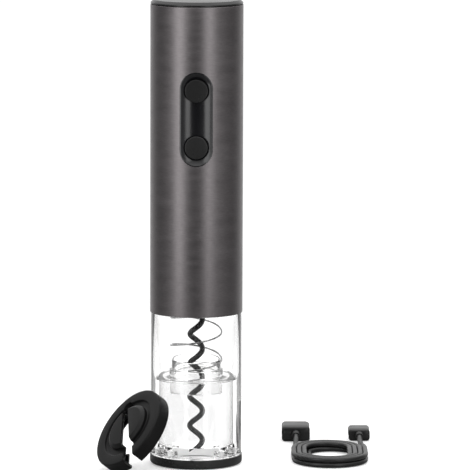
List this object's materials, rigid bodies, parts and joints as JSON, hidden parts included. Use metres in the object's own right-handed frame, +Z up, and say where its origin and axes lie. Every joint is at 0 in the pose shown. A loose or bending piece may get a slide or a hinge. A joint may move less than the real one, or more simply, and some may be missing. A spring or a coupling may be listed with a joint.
{
  "type": "electric wine opener",
  "caption": "Slim upright battery corkscrew in a dark metal sleeve with a clear lower housing, push buttons, a leaning foil cutter and a coiled charging cable.",
  "frame": {"origin": "centre of the base ring's underside, on the worm's axis, at the height of the surface it stands on", "axes": "+Z up along the worm, -Y towards the side with the buttons, +X to the right when facing them"},
  "size_m": [0.1438, 0.1346, 0.242],
  "materials": {
    "gunmetal": "satin, fine speckled brush, dark grey",
    "satin_black_plastic": "satin",
    "gloss_black_plastic": "high gloss",
    "matte_black_plastic": "fine matte texture",
    "dark_plastic": "moulded",
    "white_plastic": "moulded acetal",
    "clear_plastic": "clear, polished",
    "black_coated_steel": "smooth non-stick coating",
    "spring_steel": "drawn wire",
    "zinc_steel": "plated",
    "sintered_steel": "sintered, grey",
    "cutter_steel": "ground edge",
    "bronze": "oiled sintered bronze",
    "brass": "machined",
    "magnet": "ferrite",
    "armature_copper": "wound copper on laminations",
    "battery_wrap": "shrink wrap",
    "nickel": "nickel plate",
    "board_green": "solder mask",
    "wire_insulation": "soft insulation",
    "cable_black": "satin jacket"
  },
  "bodies": {
    "housing": {"outer_sleeve": "gunmetal", "top_cap": "satin_black_plastic", "button_bezel": "gloss_black_plastic", "chassis_front": "dark_plastic", "chassis_rear": "dark_plastic", "chassis_screws": "zinc_steel", "clear_housing": "clear_plastic", "base_ring": "satin_black_plastic", "guide_spring": "spring_steel", "bulkhead": "white_plastic", "spindle_bush": "bronze", "ring_gear": "dark_plastic", "gearbox_plate": "zinc_steel", "gearbox_screws": "zinc_steel", "motor_can": "zinc_steel", "motor_cap": "white_plastic", "motor_bushes": "bronze", "motor_magnets": "magnet", "battery_cell": "battery_wrap", "battery_tabs": "nickel", "control_board": "board_green", "board_chips": "dark_plastic", "tact_switches": "dark_plastic", "charge_board": "board_green", "usb_socket": "nickel", "wiring": "wire_insulation"},
    "worm": {"worm": "black_coated_steel", "worm_chuck": "dark_plastic", "output_carrier": "sintered_steel", "output_pins": "zinc_steel"},
    "input_carrier": {"input_carrier": "sintered_steel", "input_pins": "zinc_steel"},
    "rotor": {"motor_shaft": "zinc_steel", "motor_pinion": "brass", "armature": "armature_copper"},
    "guide": {"bottle_guide": "clear_plastic"},
    "up_button": {"up_button": "gloss_black_plastic"},
    "down_button": {"down_button": "gloss_black_plastic"},
    "foil_cutter": {"cutter_body": "matte_black_plastic", "cutter_plate": "matte_black_plastic", "cutter_pins": "zinc_steel", "cutter_screws": "zinc_steel"},
    "charging_cable": {"usb_a_grip": "cable_black", "usb_a_shell": "nickel", "usb_c_grip": "cable_black", "usb_c_shell": "nickel", "cable_lead_a": "cable_black", "cable_lead_c": "cable_black", "cable_coil": "cable_black"},
    "output_planet_1": {"output_planet_1": "white_plastic"},
    "input_planet_1": {"input_planet_1": "white_plastic"},
    "output_planet_2": {"output_planet_2": "white_plastic"},
    "input_planet_2": {"input_planet_2": "white_plastic"},
    "output_planet_3": {"output_planet_3": "white_plastic"},
    "input_planet_3": {"input_planet_3": "white_plastic"},
    "cutter_wheel_1": {"cutter_wheel_1": "cutter_steel"},
    "cutter_wheel_2": {"cutter_wheel_2": "cutter_steel"},
    "cutter_wheel_3": {"cutter_wheel_3": "cutter_steel"},
    "cutter_wheel_4": {"cutter_wheel_4": "cutter_steel"}
  },
  "joints": [
    {"name": "worm_spin", "type": "hinge", "parent": "housing", "child": "worm", "pos_m": [0, 0, 0.05], "axis": [0, 0, 1], "continuous": true},
    {"name": "input_carrier_spin", "type": "hinge", "parent": "housing", "child": "input_carrier", "pos_m": [0, 0, 0.1], "axis": [0, 0, 1], "continuous": true},
    {"name": "rotor_spin", "type": "hinge", "parent": "housing", "child": "rotor", "pos_m": [0, 0, 0.13], "axis": [0, 0, 1], "continuous": true},
    {"name": "output_planet_1_spin", "type": "hinge", "parent": "worm", "child": "output_planet_1", "pos_m": [0.00945, 0, 0.099], "axis": [0, 0, 1], "continuous": true},
    {"name": "output_planet_2_spin", "type": "hinge", "parent": "worm", "child": "output_planet_2", "pos_m": [-0.00473, 0.00818, 0.099], "axis": [0, 0, 1], "continuous": true},
    {"name": "output_planet_3_spin", "type": "hinge", "parent": "worm", "child": "output_planet_3", "pos_m": [-0.00473, -0.00818, 0.099], "axis": [0, 0, 1], "continuous": true},
    {"name": "input_planet_1_spin", "type": "hinge", "parent": "input_carrier", "child": "input_planet_1", "pos_m": [0.00945, 0, 0.1108], "axis": [0, 0, 1], "continuous": true},
    {"name": "input_planet_2_spin", "type": "hinge", "parent": "input_carrier", "child": "input_planet_2", "pos_m": [-0.00473, 0.00818, 0.1108], "axis": [0, 0, 1], "continuous": true},
    {"name": "input_planet_3_spin", "type": "hinge", "parent": "input_carrier", "child": "input_planet_3", "pos_m": [-0.00473, -0.00818, 0.1108], "axis": [0, 0, 1], "continuous": true},
    {"name": "guide_slide", "type": "slide", "parent": "housing", "child": "guide", "axis": [0, 0, 1], "range_m": [0, 0.02], "stiffness_N_per_m": 60, "springref_m": -0.02, "deforming": ["guide_spring"]},
    {"name": "up_press", "type": "slide", "parent": "housing", "child": "up_button", "axis": [0, 1, 0], "range_m": [0, 0.001], "stiffness_N_per_m": 400, "springref_m": -0.001},
    {"name": "down_press", "type": "slide", "parent": "housing", "child": "down_button", "axis": [0, 1, 0], "range_m": [0, 0.001], "stiffness_N_per_m": 400, "springref_m": -0.001},
    {"name": "cutter_away", "type": "slide", "parent": "housing", "child": "foil_cutter", "axis": [-0.8746, -0.4848, 0], "range_m": [0, 0.06]},
    {"name": "cutter_wheel_1_spin", "type": "hinge", "parent": "foil_cutter", "child": "cutter_wheel_1", "pos_m": [-0.02349, -0.03823, 0.02229], "axis": [-0.6985, -0.3872, 0.6018], "continuous": true},
    {"name": "cutter_wheel_2_spin", "type": "hinge", "parent": "foil_cutter", "child": "cutter_wheel_2", "pos_m": [-0.02366, -0.02062, 0.03342], "axis": [-0.6985, -0.3872, 0.6018], "continuous": true},
    {"name": "cutter_wheel_3_spin", "type": "hinge", "parent": "foil_cutter", "child": "cutter_wheel_3", "pos_m": [-0.04142, -0.01148, 0.01868], "axis": [-0.6985, -0.3872, 0.6018], "continuous": true},
    {"name": "cutter_wheel_4_spin", "type": "hinge", "parent": "foil_cutter", "child": "cutter_wheel_4", "pos_m": [-0.04125, -0.02908, 0.00756], "axis": [-0.6985, -0.3872, 0.6018], "continuous": true},
    {"name": "cable_away", "type": "slide", "parent": "housing", "child": "charging_cable", "axis": [1, 0, 0], "range_m": [0, 0.1]}
  ],
  "couplings": [
    {"joint": "worm_spin", "follows": "rotor_spin", "ratio": 0.049383},
    {"joint": "input_carrier_spin", "follows": "rotor_spin", "ratio": 0.22222},
    {"joint": "output_planet_1_spin", "follows": "rotor_spin", "ratio": -0.13827},
    {"joint": "output_planet_2_spin", "follows": "rotor_spin", "ratio": -0.13827},
    {"joint": "output_planet_3_spin", "follows": "rotor_spin", "ratio": -0.13827},
    {"joint": "input_planet_1_spin", "follows": "rotor_spin", "ratio": -0.62222},
    {"joint": "input_planet_2_spin", "follows": "rotor_spin", "ratio": -0.62222},
    {"joint": "input_planet_3_spin", "follows": "rotor_spin", "ratio": -0.62222}
  ]
}
